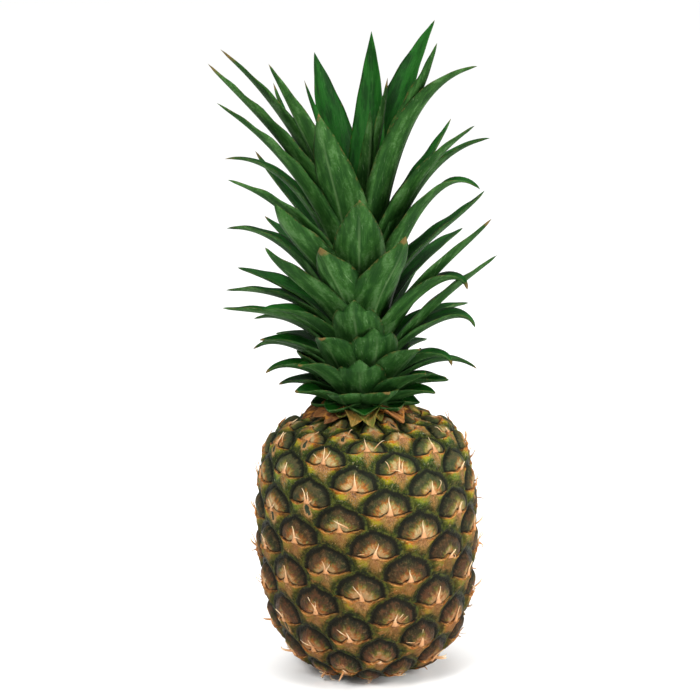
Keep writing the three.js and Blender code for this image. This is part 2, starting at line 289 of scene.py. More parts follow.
def eye_middle(level, half):
    turn = FIRST_TURN - LEVEL_TURN * level + 180 * half
    return np.array([turn, FIRST_ALONG + LEVEL_STEP * level + STEP_GROWTH * level**2])


def border(middle, near, start, end):
    """Places on the border towards a neighbour, from one corner to the next."""
    straight = (start + end) / 2
    bow = DOME_BOW if near[1] < middle[1] else -DOME_BOW
    handle = straight + 2 * bow * (near - middle)
    t = np.linspace(0, 1, EDGE_STEPS + 1)[:, None]
    return (1 - t) ** 2 * start + 2 * t * (1 - t) * handle + t**2 * end


def eye_borders(level, half):
    """The upper and the lower border of an eye, both from its left end to its right end."""
    middle = eye_middle(level, half)
    near = [eye_middle(level + down, half + turns) for down, turns in NEIGHBOURS]
    corners = [(middle + near[i] + near[(i + 1) % 6]) / 3 + CORNER_SHIFTS[i % 2] for i in range(6)]
    edges = [border(middle, near[i], corners[i - 1], corners[i]) for i in range(6)]
    upper = np.concatenate([edges[3][::-1], edges[2][::-1][1:], edges[1][::-1][1:]])
    lower = np.concatenate([edges[4], edges[5][1:], edges[0][1:]])
    return upper, lower


print(len(eyes), "eyes, and the first sits at", eye_middle(0, 0))

# %% [markdown]
# ## One eye
# An eye was once a flower. Its upper half is a cushion with a pale dried star low in the middle. Under the star
# runs a dark slit, and below that the lip of a leathery bract, which stands proud like a moustache. The bract's
# face slopes down to the groove. A grid with its middle row laid along the lip gives this crisp line with few
# faces, which a round or an even mesh would not. The eye is shaped once in flat millimetres and then copied.

# %% The eye's flat outline, from one in the middle of the fruit
MODEL_LEVEL = 32
MODEL_RADIUS = 60
ACROSS = 3 * EDGE_STEPS
LIP_SAG, LIP_PEAK, PEAK_WIDTH, LIP_WOBBLE, HALF_EYE = 2.5, 2.5, 2.6, 0.7, 15  # in mm


def bell(value, width):
    """1 in the middle, and near 0 at two widths from it."""
    return np.exp(-((value / width) ** 2))


def lip_height(u):
    """How far the lip's line lies above the straight line between the eye's two ends, in mm."""
    return LIP_PEAK * bell(u, PEAK_WIDTH) - LIP_SAG * (1 - (u / HALF_EYE) ** 2)


def level_gap(level):
    return LEVEL_STEP + 2 * STEP_GROWTH * level


def eye_lines(level, half, waves=(0, 0, 0)):
    """The upper border, the lip and the lower border, as bearings and distances down the skin."""
    upper, lower = eye_borders(level, half)
    share = np.linspace(0, 1, ACROSS + 1)
    lip = upper[:1] + (upper[-1:] - upper[:1]) * share[:, None]
    rise = lip_height((2 * share - 1) * HALF_EYE)
    rise = rise + sum(wave * LIP_WOBBLE * np.sin((i + 1) * np.pi * share) for i, wave in enumerate(waves))
    lip[:, 1] -= rise * level_gap(level) / level_gap(MODEL_LEVEL)
    return upper, lip, lower


def flat(places, middle):
    """Places near an eye's middle as mm to the right and mm up."""
    return np.stack([np.radians(places[:, 0] - middle[0]) * MODEL_RADIUS, middle[1] - places[:, 1]], 1)


model_middle = eye_middle(MODEL_LEVEL, 0)
model_upper, model_lip, model_lower = (flat(p, model_middle) for p in eye_lines(MODEL_LEVEL, 0))
print("an eye is", np.ptp(model_lip[:, 0]).round(1), "mm wide and",
      (model_upper[:, 1].max() - model_lower[:, 1].min()).round(1), "mm high")

# %% The grid of one eye
BELOW = (1, 0.965, 0.91, 0.82, 0.7, 0.56, 0.42, 0.28, 0.16, 0.08, 0.03)
ABOVE = (0.03, 0.07, 0.12, 0.19, 0.28, 0.38, 0.49, 0.6, 0.7, 0.8, 0.88, 0.94, 0.975, 1)
ROWS = np.array([-share for share in BELOW] + [0] + list(ABOVE))


def between(lines, column, share):
    """The place at a share of the way from the lip to a border: below 0 down, above 0 up."""
    upper, lip, lower = (l[column] for l in lines)
    goal = np.where(share[:, None] > 0, upper, lower)
    return lip + np.abs(share)[:, None] * (goal - lip)


cells = {"x_subdivisions": ACROSS, "y_subdivisions": len(ROWS) - 1}
eye = started(bpy.ops.mesh.primitive_grid_add, "one_eye", size=2, **cells)
corner = np.array([v.co[:2] for v in eye.data.vertices])
column = np.rint((corner[:, 0] + 1) / 2 * ACROSS).astype(int)
share = ROWS[np.rint((corner[:, 1] + 1) / 2 * (len(ROWS) - 1)).astype(int)]
u, v = between((model_upper, model_lip, model_lower), column, share).T
above_lip = v - np.interp(u, model_lip[:, 0], model_lip[:, 1])
print(len(column), "points and", len(eye.data.polygons), "faces in one eye")

# %% The relief of one eye
def distance_to_border(u, v):
    rim = np.concatenate([model_upper, model_lower[::-1]])
    start, way = rim, np.roll(rim, -1, 0) - rim
    point = np.stack([u, v], 1)[:, None]
    t = np.clip(((point - start) * way).sum(-1) / np.maximum((way**2).sum(-1), 1e-9), 0, 1)
    return np.linalg.norm(point - start - t[..., None] * way, axis=-1).min(1)


def swell(distance, width, power=1.25):
    """0 at an edge, and near 1 at two widths from it."""
    return 1 - np.exp(-((distance / width) ** power))


# All in mm, but for the squareness and the fall. The dome is the cushion above the lip. The gap is how far past the
# eye's border the dome may reach, and the fall is how fast its inside deepens.
DOME_MIDDLE, HALF_DOME, DOME_HEIGHT, SQUARENESS = -0.4, 12.7, 12.9, 2.4
DOME_GAP, DOME_FALL = 1.1, 12
TOP_HALF_WIDTH, TOP_HALF_HEIGHT, TOP_MIDDLE = 13, 8, 5
BORDER_LEVEL = 1.5  # two eyes share it along their border
DOME_FOOT, DOME_RISE, TOP_RISE, STAR_DENT, RING_RISE, MOAT = 0.4, 2.9, 0.9, 0.9, 0.3, 1.4
BRACT_RISE, KEEL_RISE, LIP_RISE, SLIT = 1.9, 0.3, 0.9, 1.3
LIP_END = 13.5  # the lip and the slit die out here, to the left and the right

inset = distance_to_border(u, v)
cushion, sharp = swell(inset, 1.8), swell(inset, 0.7)
wide, high = np.abs(u - DOME_MIDDLE) / HALF_DOME, np.abs(above_lip) / DOME_HEIGHT
from_middle = (wide**SQUARENESS + high**SQUARENESS) ** (1 / SQUARENESS)
inside_dome = -np.logaddexp(-(1 - from_middle) * DOME_FALL, -DOME_GAP - inset)
puffed = swell(np.clip(inside_dome, 0, None), 2.2, 1.2)
top = np.clip(1 - (u / TOP_HALF_WIDTH) ** 2 - ((v - TOP_MIDDLE) / TOP_HALF_HEIGHT) ** 2, 0, 1)
dome = DOME_FOOT + DOME_RISE * puffed + TOP_RISE * top * puffed
dome -= STAR_DENT * bell(u, 5) * bell(above_lip - 2.6, 2.6)
ring = BORDER_LEVEL + RING_RISE - MOAT * np.exp(np.minimum(inside_dome, 0) / 0.6)
upper_part = BORDER_LEVEL + sharp * (np.where(inside_dome > 0, dome, ring) - BORDER_LEVEL)
keel = KEEL_RISE * bell(u + 0.2 * above_lip, 0.8)
bract = BORDER_LEVEL + cushion * (BRACT_RISE + 0.05 * above_lip + keel)
relief = np.where(above_lip > 0, upper_part, bract)
towards_ends = np.clip(1 - (np.abs(u) / LIP_END) ** 4, 0, 1)
lip_and_slit = LIP_RISE * bell(above_lip + 0.3, 0.45) - SLIT * bell(above_lip - 0.4, 0.6)
relief += towards_ends * cushion * lip_and_slit
print("relief of an eye in mm:", relief.min().round(2), "to", relief.max().round(2))

# %% What the finish will read on an eye
MAP_SIZE = 40  # mm across the eye's own map


def give_map(mesh, name, values):
    """A UV map from one pair of numbers for each point."""
    layer = mesh.uv_layers.new(name=name)
    index = np.empty(len(mesh.loops), int)
    mesh.loops.foreach_get("vertex_index", index)
    layer.data.foreach_set("uv", values[index].astype(np.float32).ravel())


def give_reading(mesh, name, values, domain="POINT"):
    """A number for each point, or for each corner of a face, that a finish can read."""
    layer = mesh.attributes.new(name, "FLOAT", domain)
    layer.data.foreach_set("value", np.asarray(values, np.float32))


def drop_maps(mesh):
    for layer in list(mesh.uv_layers):
        mesh.uv_layers.remove(layer)


drop_maps(eye.data)
give_map(eye.data, "eye", np.stack([u, above_lip], 1) / MAP_SIZE + 0.5)
give_reading(eye.data, "inset", inset)
give_reading(eye.data, "inside", inside_dome)

# %% [markdown]
# ## Copies of the eye, laid on the fruit
# Each copy keeps the eye's grid but stretches between its own borders, so eyes low and high on the fruit come out
# narrower by themselves. Small seeded changes in height and a slow noise keep them from looking stamped.

# %% Lay the copies and join them
chance = np.random.default_rng(7)
SEAT_RADIUS, SEAT_HEIGHT = 17.4, 142.6  # the flat place in the top that the crown grows from, in mm
LEAST_HEIGHT, HEIGHT_SPREAD, TILT_SPREAD = 0.85, 0.3, 0.06  # shares by which one eye differs from the next
LUMPS = [(5, 0.3, 3), (1.7, 0.14, 9)]  # size and height in mm, and a seed


def move_points(mesh, points):
    mesh.vertices.foreach_set("co", np.asarray(points, np.float32).ravel())
    mesh.update()


def lumps(points, size, seed):
    """Soft noise from -1 to 1 at points in metres, with lumps of a size in mm."""
    return np.array([noise.noise(Vector(p) / (size * MM) + Vector((seed, 0, 0))) for p in points])


def copy_of(template):
    return shown(template.name, template.data.copy())


def pick(pieces):
    bpy.ops.object.select_all(action="DESELECT")
    for piece in pieces:
        piece.select_set(True)
    bpy.context.view_layer.objects.active = pieces[0]


def edit_all():
    """Go into edit mode with every point selected."""
    bpy.ops.object.mode_set(mode="EDIT")
    bpy.ops.mesh.select_all(action="SELECT")


def turn_faces():
    """Turn all faces outwards and leave edit mode."""
    bpy.ops.mesh.select_all(action="SELECT")
    bpy.ops.mesh.normals_make_consistent(inside=False)
    bpy.ops.object.mode_set(mode="OBJECT")


def joined(pieces, name):
    pick(pieces)
    bpy.ops.object.join()
    pieces[0].name = pieces[0].data.name = name
    return pieces[0]


def face_outwards(piece, merge=0.01):
    """Merge points nearer than merge, in mm, close what is open, turn all faces outwards and shade them smooth."""
    pick([piece])
    edit_all()
    bpy.ops.mesh.remove_doubles(threshold=merge * MM)
    bpy.ops.mesh.select_all(action="SELECT")
    bpy.ops.mesh.fill_holes(sides=0)
    turn_faces()
    bpy.ops.object.shade_smooth()


def lay_eye(level, half):
    """One copy of the eye between its own borders, a little higher or lower and leaning its own way."""
    piece = copy_of(eye)
    own = chance.random(7)
    places = between(eye_lines(level, half, waves=own[4:] * 2 - 1), column, share)
    height = BORDER_LEVEL + (relief - BORDER_LEVEL) * (LEAST_HEIGHT + HEIGHT_SPREAD * own[0])
    height = height + (own[1] - 0.5) * TILT_SPREAD * u * cushion
    even = skin_points(places[:, 0], places[:, 1], height)
    rough = sum(tall * lumps(even, size, seed) for size, tall, seed in LUMPS)
    points = skin_points(places[:, 0], places[:, 1], height + rough * cushion)
    seated = np.hypot(points[:, 0], points[:, 1]) < SEAT_RADIUS * MM
    high = points[:, 2] > SEAT_HEIGHT * MM
    points[:, 2] = np.where(seated & high, SEAT_HEIGHT * MM, np.maximum(points[:, 2], 0))
    move_points(piece.data, points)
    give_reading(piece.data, "own", np.full(len(piece.data.loops), own[2]), "CORNER")
    return piece


fruit_skin = joined([lay_eye(level, half) for level, half in eyes], "fruit_skin")
bpy.data.objects.remove(eye)
print(len(fruit_skin.data.polygons), "faces in the joined skin")

# %% Close the top and the base
HOLE_RADIUS, HOLE_DEPTH, FOOT_RADIUS, NECK_RING = 12.35, 7.35, 14, 5  # in mm
MIDDLE_HEIGHT = 70  # in mm; it tells the open edges at the top from those at the base
BORDER_GAP = 0.02  # points nearer than this on two eyes' borders become one
edit_all()
bpy.ops.mesh.select_mode(type="EDGE")
bpy.ops.mesh.remove_doubles(threshold=BORDER_GAP * MM)


def select_open_edges(at_top):
    bpy.ops.mesh.select_all(action="DESELECT")
    mesh = bmesh.from_edit_mesh(fruit_skin.data)
    for edge in mesh.edges:
        if edge.is_boundary and (edge.verts[0].co.z > MIDDLE_HEIGHT * MM) == at_top:
            edge.select_set(True)
    bmesh.update_edit_mesh(fruit_skin.data)


def extrude_to_ring(radius, height):
    """A new ring from the selected edges, at a radius and a height in mm."""
    bpy.ops.mesh.extrude_region_move()
    mesh = bmesh.from_edit_mesh(fruit_skin.data)
    for vertex in [v for v in mesh.verts if v.select]:
        outwards = Vector((vertex.co.x, vertex.co.y, 0)).normalized()
        vertex.co = outwards * radius * MM + Vector((0, 0, height * MM))
    bmesh.update_edit_mesh(fruit_skin.data)


select_open_edges(at_top=True)
extrude_to_ring(NECK_RING, SEAT_HEIGHT)
bpy.ops.mesh.merge(type="CENTER")
select_open_edges(at_top=False)
for radius, height in ((FOOT_RADIUS, 0), (HOLE_RADIUS, 0), (HOLE_RADIUS, HOLE_DEPTH)):
    extrude_to_ring(radius, height)
bpy.ops.mesh.merge(type="CENTER")
left_open = sum(edge.is_boundary for edge in bmesh.from_edit_mesh(fruit_skin.data).edges)
turn_faces()
bpy.ops.object.shade_smooth()
print("open edges left:", left_open)

# %% [markdown]
# ## The finish of the rind
# The finish reads the eye's own map: mm to the right, and mm above the lip. So every eye carries its star, slit,
# lip and bract in the right place, and noise in the fruit's own space keeps two eyes from being alike. The rind is
# greener towards the top and browner below. A grain takes how many waves fit in a metre, or in a unit of the vector
# that it reads, and a rise takes the two ends of its step.

# %% Rind: the eye's map and its parts
rind = Finish("rind", Roughness=0.5, Specular_IOR_Level=0.1)
place = rind.place()
eye_u, eye_w, _ = rind.parts(rind.map("eye"))
drift_u, drift_w, _ = rind.parts(rind.node("ShaderNodeTexNoise", {}, {"Vector": place, "Scale": 330, "Detail": 3}, 1))
eye_u = eye_u.swing(MAP_SIZE) + drift_u.swing(2.2)
eye_w = eye_w.swing(MAP_SIZE) + drift_w.swing(1.0)
rim_gap, own = rind.reading("inset"), rind.reading("own")
upward = rind.parts(place)[2]
low_down, high_up = upward.rise(0.12, 0.03), upward.rise(0.095, 0.132)
mood = rind.vector(own * 60, 3.1, 7.7).grain(1.0, 0)
fine = place.grain(1150, 4, 0.75)
patch = place.grain(170, 3, 0.6)
mottle = place.grain(480, 3, 0.65)

# %% Rind: the cushion above the lip
maroon = (patch * 0.5 + mottle * 0.5).rise(0.46, 0.58) * (0.18 + 0.37 * low_down)
rust = (place.grain(42, 2, 0.5) * 0.6 + mood * 0.4 + 0.08 * low_down - 0.12 * high_up).rise(0.5, 0.62)
cushion_tone = rind.coats(
    rind.mix(patch.rise(0.38, 0.62), "#20240f", "#3a311a"),
    (high_up * 0.7, rind.mix(patch, "#2a3a1a", "#454a30")),
    (mottle.rise(0.52, 0.68) * 0.6, "#4f4b2c"),
    (maroon, "#4a2015"),
    (rust * 0.35, rind.mix(mottle, "#2b160c", "#5c3219")),
    (fine.rise(0.57, 0.7) * 0.45, "#747a56"),
    (fine.rise(0.45, 0.32) * 0.65, "#0b0d06"),
)

# %% Rind: the dried star
ray_turn = (eye_w + 1.2).bearing(eye_u)
reach = ((eye_u / 8.4) ** 2 + ((eye_w - 0.8) / 7.6) ** 2) ** 0.5
rays = rind.vector(ray_turn * 4, own * 31, reach * 1.2).grain(1.6, 3, 0.6)
thin_rays = rind.vector(ray_turn * 11, own * 17, reach * 1.8).grain(1.6, 4, 0.7)
glow = reach + rays.swing(0.8) + mottle.swing(0.8) + mood.swing(0.9) - 0.1 * low_down
star, heart = glow.rise(1.1, 0.6), glow.rise(0.95, 0.25)
fringe_tone = rind.mix((mottle + own.swing(0.2)).rise(0.46, 0.6), "#6b7022", "#a4570f")
fringe_tone = rind.mix(low_down * patch.rise(0.4, 0.6), fringe_tone, "#6e3a24")
heart_tone = rind.coats(
    "#b8a677",
    ((thin_rays * 0.6 + mottle * 0.4).rise(0.42, 0.66) * 0.8, "#8f6436"),
    ((patch * 0.5 + thin_rays * 0.5).rise(0.49, 0.58) * 0.75, "#a5652a"),
    (low_down * 0.65, rind.mix(mottle.rise(0.4, 0.6), "#c08c5e", "#8f491a")),
)
star_tone = rind.mix(heart, fringe_tone, heart_tone)
upper_tone = rind.mix(star * (0.7 + 0.28 * heart), cushion_tone, star_tone)

# %% Rind: the bract below the lip
down = eye_w * -1
fan_turn = (eye_u - 0.3).bearing(down + 2.5)
fan_reach = ((eye_u - 0.3) ** 2 + (down + 2.5) ** 2) ** 0.5
veins = rind.vector(fan_turn * 9, own * 23, fan_reach * 0.28).grain(1.6, 6, 0.8)
drop = down / 9 + patch.swing(0.6) + mood.swing(0.4)
wing_tone = rind.coats(
    "#bb6413",
    ((drop + veins.swing(1.4)).rise(0.0, 0.2), rind.mix(mood.rise(0.4, 0.6), "#a39a1a", "#7c8a24")),
    ((drop + mottle.swing(1.2) + veins.swing(1.2)).rise(0.12, 0.62), "#1f3a0c"),
    (low_down * (patch + veins.swing(1.2)).rise(0.45, 0.62) * 0.8, "#8a4712"),
)
middle_tone = rind.mix((veins + fine.swing(0.5)).rise(0.38, 0.58), "#cf9a66", "#6a340f")
lower_tone = rind.mix(veins.rise(0.35, 0.6), "#b48442", "#3f4212")
middle_tone = rind.mix(down.rise(2.0, 7) * 0.85, middle_tone, lower_tone)
fan = eye_u.size() / (12 - down) + veins.swing(2.0) + mottle.swing(0.9) + mood.swing(0.8)
bract_tone = rind.coats(
    middle_tone,
    (fan.rise(0.0, 0.6) * (1 - 0.15 * low_down), wing_tone),
    (veins.rise(0.55, 0.66) * 0.6, "#dcc090"),
    (veins.rise(0.45, 0.32) * 0.8, "#1f220a"),
    (fine.rise(0.58, 0.7) * (0.35 + 0.4 * high_up - 0.15 * low_down), "#c3c8b4"),
    (fine.rise(0.44, 0.32) * 0.5, "#15200a"),
    (rust * 0.35, rind.mix(veins.rise(0.38, 0.6), "#2c1a0a", "#b3713a")),
)

# %% Rind: lip, slit and groove
# The dark green of the grooves between the eyes: partly the rind's own colour at the eyes' borders, partly painted
# shade in the grooves.
groove_tone_and_shade = rind.coats(
    "#111a07",
    ((mottle * 0.4 + patch * 0.25 + veins * 0.35).rise(0.43, 0.6), "#474c15"),
    (low_down * patch.rise(0.5, 0.65) * 0.6, "#3f2a10"),
    (fine.rise(0.6, 0.72) * (0.2 + 0.4 * high_up), "#a9b08f"),
)
under_lip = (eye_w + fine.swing(0.5)).rise(0.1, -0.1)
teeth = rind.vector(ray_turn * 10, own * 13, 0.0).grain(1.5, 3, 0.6)
inside = rind.reading("inside") + mottle.swing(1.8) + teeth.swing(3.6)
upper_tone = rind.mix(inside.rise(-0.5, -1.1), upper_tone, groove_tone_and_shade)
# A near-black band along the dome's border: partly the eye's own dark rim, partly painted shade in the groove round
# the dome.
upper_tone = rind.mix((inside - 0.2).size().rise(1.9, 0.6) * 0.92, upper_tone, "#090d05")
# Painted shade and the rind's own dark patches: a little darkening towards the bottom, where less light falls, plus
# random dark patches that thin out high up.
shade = 0.1 * low_down + (mottle * 0.6 + patch * 0.4).rise(0.53, 0.42) * (0.3 - 0.2 * high_up)
not_ends = eye_u.size().rise(13.2, 10.0)
# Painted shade: the slit under the lip is painted near black, for the shade in its crevice.
slit_shade = (eye_w - 0.6 + mottle.swing(0.9)).size().rise(0.8, 0.15) * not_ends
lip = (eye_w + 0.2 + mottle.swing(0.6)).size().rise(0.55, 0.1) * not_ends
torn = ((eye_u - 0.3) ** 2 / 3.4 + (eye_w + 3.6) ** 2 / 9) ** 0.5 + mottle.swing(1.6) + veins.swing(1.2)
is_torn = own.rise(0.9, 0.91)
# Painted shade with the grooves' own dark colour: the bract's face is darkened near the eye's border, over a wider
# band lower down.
groove_band_with_shade = rim_gap + mottle.swing(2.6) + patch.swing(3) + veins.swing(4) - 0.8 * low_down
tone = rind.coats(
    upper_tone,
    (under_lip, bract_tone),
    (shade, "#140e05"),
    (slit_shade * 0.8, "#1a0f08"),
    (lip * (0.1 + 1.1 * rays), rind.mix(thin_rays.rise(0.4, 0.6), "#d9a05c", "#93481a")),
    (is_torn * torn.rise(1.6, 1.1) * 0.7, "#b98a5a"),
    (is_torn * torn.rise(1.0, 0.75), rind.mix(fine, "#10150d", "#46523c")),
    (groove_band_with_shade.rise(3.2, 0.3) * under_lip * 0.85, groove_tone_and_shade),
)

# %% Rind: shine and small relief
rough = 0.42 + 0.2 * under_lip + 0.15 * fine + 0.1 * star
height = 0.5 * fine + 0.6 * mottle + star * 0.7 * thin_rays + under_lip * 1.2 * veins
fruit_skin.data.materials.append(rind.wear(tone, rough, height, depth=0.0011, strength=0.9))
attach(fruit_skin, "root")
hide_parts("fruit")
print("the rind reads", len(rind.tree.nodes), "nodes")

# %% [markdown]
# ## Dry points on the eyes
# The bract of each eye ends in a thin dry point that rises over the cushion. On a handled fruit they are bent,
# broken or split. One point is extruded from a flattened ring, as by hand, and each copy gets its own length,
# lean and lift.

# %% One dry point
POINT_SIDES, POINT_STEPS = 6, 8


def upright_thread(sides, steps):
    """A round thread, 1 in radius and 1 tall, extruded step by step from a circle."""
    thread = started(bpy.ops.mesh.primitive_circle_add, "thread", vertices=sides, radius=1, fill_type="NGON")
    edit_all()
    for step in range(steps):
        bpy.ops.mesh.extrude_region_move(TRANSFORM_OT_translate={"value": (0, 0, 1 / steps)})
    bpy.ops.object.mode_set(mode="OBJECT")
    return thread


dry_point = upright_thread(POINT_SIDES, POINT_STEPS)
print(len(dry_point.data.polygons), "faces in one dry point")

# %% Lay a dry point on an eye
POINT_LENGTH, POINT_WIDTH, POINT_THICK, POINT_LIFT = 9.0, 5.0, 0.5, 2.8  # in mm, as are the next two lines
POINT_START, POINT_LEAN, POINT_BEND = -1.6, 5, 1.1
POINT_BED, LIP_BED = 3.2, 0.9  # the height of the cushion under a point, and what the lip adds to it
BLUNT, SHARP = 0.3, 0.95  # the share of its width that a point loses towards its end
POINT_KINDS = [
    # dice below this, then for each point: a shift in mm, shares of length, lift and width, and the end
    (0.14, [(0, 0.45, 1, 1, BLUNT)]),  # broken
    (0.34, [(-1.9, 1, 1, 0.8, SHARP), (1.7, 0.8, 0.7, 0.7, SHARP)]),  # split in two that lean apart
    (1, [(0, 1, 1, 1, SHARP)]),
]
SMALL_EYE_RADIUS = 22


def eye_points(level, half, u, v, height):
    """Points in metres at mm right and mm up from an eye's middle, and mm above its grooves."""
    turn, along = eye_middle(level, half)
    stretch = level_gap(level) / level_gap(MODEL_LEVEL)
    return skin_points(turn + np.degrees(u / MODEL_RADIUS), along - v * stretch, height)


def lay_point(level, half, lean, length, lift, width, end):
    piece = copy_of(dry_point)
    bend, tone = chance.random(2)
    ring = np.array([v.co for v in piece.data.vertices])
    t = ring[:, 2]
    taper = (1 - t * end) * (0.26 + 0.74 * (1 - t) ** 2.6)
    u = ring[:, 0] * taper * (POINT_WIDTH * width) / 2 + lean * t**1.4
    u = u + POINT_BEND * (bend - 0.5) * np.sin(5.5 * t)
    start = lip_height(0.0) + POINT_START
    v = start + t * length
    height = POINT_BED + LIP_BED * bell(v - start, 2.5) + lift * t**1.5
    height = height + ring[:, 1] * POINT_THICK * (1 - 0.6 * t) - 0.5 * np.abs(ring[:, 0]) * taper
    move_points(piece.data, eye_points(level, half, u, v, height))
    give_reading(piece.data, "own", np.full(len(t), tone))
    give_reading(piece.data, "along", t)
    return piece


points = []
for level, half in eyes:
    radius = np.interp(eye_middle(level, half)[1], line_along, line[:, 0])
    size = np.clip((radius - SMALL_EYE_RADIUS) / SMALL_EYE_RADIUS, 0.15, 1)
    kind = chance.random()
    length = POINT_LENGTH * (0.7 + 0.5 * chance.random()) * size
    lean = (chance.random() - 0.5) * POINT_LEAN
    lift = POINT_LIFT * (0.2 + 1.1 * chance.random()) * size
    shapes = next(shapes for below, shapes in POINT_KINDS if kind < below)
    for shift, long, high, width, end in shapes:
        points.append(lay_point(level, half, lean + shift, length * long, lift * high, width, end))
bract_points = joined(points, "bract_points")
bpy.data.objects.remove(dry_point)
face_outwards(bract_points, merge=0.001)
print("dry points:", len(points), "with", len(bract_points.data.polygons), "faces")

# %% The dry points' finish
papery = Finish("papery_bract", Roughness=0.7, Specular_IOR_Level=0.25)
stripe = papery.place().grain(900, 3, 0.6)
dry = papery.coats(
    "#b58358",
    ((papery.reading("along") + stripe.swing(0.5)).rise(0.15, 0.8), "#dcc29b"),
    (papery.reading("own").rise(0.55, 0.9) * 0.55, "#a8703c"),
    (stripe.rise(0.55, 0.7) * 0.6, "#7a4c26"),
)
bract_points.data.materials.append(papery.wear(dry, 0.6 + 0.2 * stripe, stripe, depth=0.0002))
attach(bract_points, "root")
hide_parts("fruit")

# %% [markdown]
# ## The crown's leaves
# Every leaf is the same shallow channel: a midrib that leaves the stem, and two wings that curl up. What differs is
# where it points, how long it is and how its tip bends, so the leaves are a table. A leaf's midrib is a curve with
# four handles in the upright plane of its bearing. The leaf's surface is a closed sleeve with an inner and an outer
# face, made once as a grid, and each copy wraps it round its own midrib.

# %% The stem and the midrib of a leaf
CROWN_HEIGHT = 139.3  # of the crown's foot, in mm
STEM_PROFILE = [(17, 3.7), (17, 14), (15.5, 40), (12, 75), (7.5, 106), (2.5, 128)]
FOOT_HANDLE, TIP_HANDLE = 0.42, 0.3  # shares of the way from foot to tip
FOOT_SLOPE, SLOPE_GROWTH, LEAST_SLOPE, MOST_SLOPE = 26, 1.5, 30, 82  # degrees, and degrees a mm up the stem
LEAF_ROOT = 0.4  # how far out in the stem a leaf begins, as a share of the stem's radius
MIDRIB_POINTS = 240


def stem_radius(height):
    return np.interp(height, [z for _, z in STEM_PROFILE], [r for r, _ in STEM_PROFILE])


def towards(slope):
    return np.array([math.cos(math.radians(slope)), math.sin(math.radians(slope))])


def midrib(reach, tip_height, tip_slope, foot_height):
    """The midrib as many points of reach and height, with their distance from the foot."""
    foot = np.array([stem_radius(foot_height) * LEAF_ROOT, foot_height])
    tip = np.array([reach, tip_height])
    span = np.linalg.norm(tip - foot)
    foot_slope = np.clip(FOOT_SLOPE + SLOPE_GROWTH * foot_height, LEAST_SLOPE, MOST_SLOPE)
    first = foot + towards(foot_slope) * span * FOOT_HANDLE
    second = tip - towards(tip_slope) * span * TIP_HANDLE
    t = np.linspace(0, 1, MIDRIB_POINTS)[:, None]
    curve = (1 - t) ** 3 * foot + 3 * t * (1 - t) ** 2 * first + 3 * t**2 * (1 - t) * second + t**3 * tip
    return curve, np.concatenate([[0], np.cumsum(np.linalg.norm(np.diff(curve, axis=0), axis=1))])


# %% The table of leaves
LEAF_TABLE = [
    # degrees right of the front, tip reach, tip height, width, slope at the tip, foot height, bluntness
    (-150, 45, 195, 28, 72, 74, 3), (160, 25, 207, 24, 88, 86, 2.6), (140, 66, 210, 28, 52, 78, 3),
    (54, 52, 204, 25, 66, 80, 2.6), (61, 71, 191, 30, 8, 66, 3), (55, 19, 185, 11, 84, 108, 2.4),
    (30, 14, 169, 12, 86, 106, 2.4), (-66, 84, 196, 26, 44, 62, 2.6), (-73, 72, 203, 26, 46, 70, 2.6),
    (-50, 57, 196, 26, 64, 76, 2.8), (-125, 34, 182, 10, 70, 92, 2.4), (-24, 50, 171, 30, 70, 62, 3.2),
    (-62, 81, 177, 23, 36, 54, 2.6), (64, 67, 161, 28, 32, 54, 2.6), (76, 70, 154, 25, 14, 50, 2.6),
    (64, 69, 127, 27, -46, 40, 2.8), (72, 73, 111, 24, 42, 28, 2.6), (82, 73, 90, 22, 36, 22, 2.6),
    (72, 59, 74, 25, -72, 32, 4.2), (88, 60, 50, 22, -74, 24, 4), (72, 49, 32, 21, -80, 17, 3.4),
    (100, 62, 24, 17, -50, 13, 2.4), (90, 46, 20, 20, -12, 9, 3.6), (-98, 72, 142, 20, -8, 54, 2.6),
    (-64, 75, 137, 24, 24, 48, 2.6), (-98, 72, 105, 27, -6, 34, 2.6), (-60, 58, 100, 30, 56, 34, 3.2),
    (-52, 56, 124, 33, 70, 44, 3.8), (-26, 47, 102, 32, 62, 37, 3.6), (-102, 75, 70, 22, -6, 31, 2.6),
    (-88, 75, 63, 21, 2, 28, 2.6), (-70, 57, 64, 26, -16, 27, 2.8), (-106, 61, 54, 22, -20, 24, 2.6),
    (-86, 55, 47, 22, 4, 20, 2.8), (-98, 60, 39, 20, -36, 17, 2.6), (-80, 53, 29, 22, -40, 13, 2.8),
    (-95, 46, 21, 20, -10, 10, 3), (0, 50, 127, 30, 78, 45, 4.6), (27, 52, 107, 31, 66, 37, 3.6),
    (-8, 37, 72, 28, 66, 24, 6), (12, 36, 57, 29, 62, 17, 6), (-4, 36, 39, 28, 55, 9, 6),
    (-30, 44, 53, 26, 22, 15, 4.6), (40, 46, 46, 27, 28, 13, 4.2), (-48, 46, 38, 25, 10, 9, 3.6),
    (46, 46, 31, 24, 12, 8, 4), (-22, 34, 21, 24, 40, 6, 4.6), (22, 35, 22, 25, 40, 6, 4.6),
    (-62, 42, 20, 22, -4, 6, 3.6), (64, 42, 19, 22, 0, 6, 3.6),
]
# Rows of short leaves: an even ring at the foot, and two low rows that hide the stem at the back
lowest_leaves = [(40 * i, 30, 11, 22, 24, 5.6, 4.4) for i in range(9)]
back_leaves = [(120 + 40 * i, 34, 23 + 2 * (i % 2), 26, 46, 8, 4.4) for i in range(4)]
back_leaves += [(100 + 40 * i, 37, 38 + 3 * (i % 2), 26, 50, 14, 4.4) for i in range(5)]
FAR_COUNT = 22


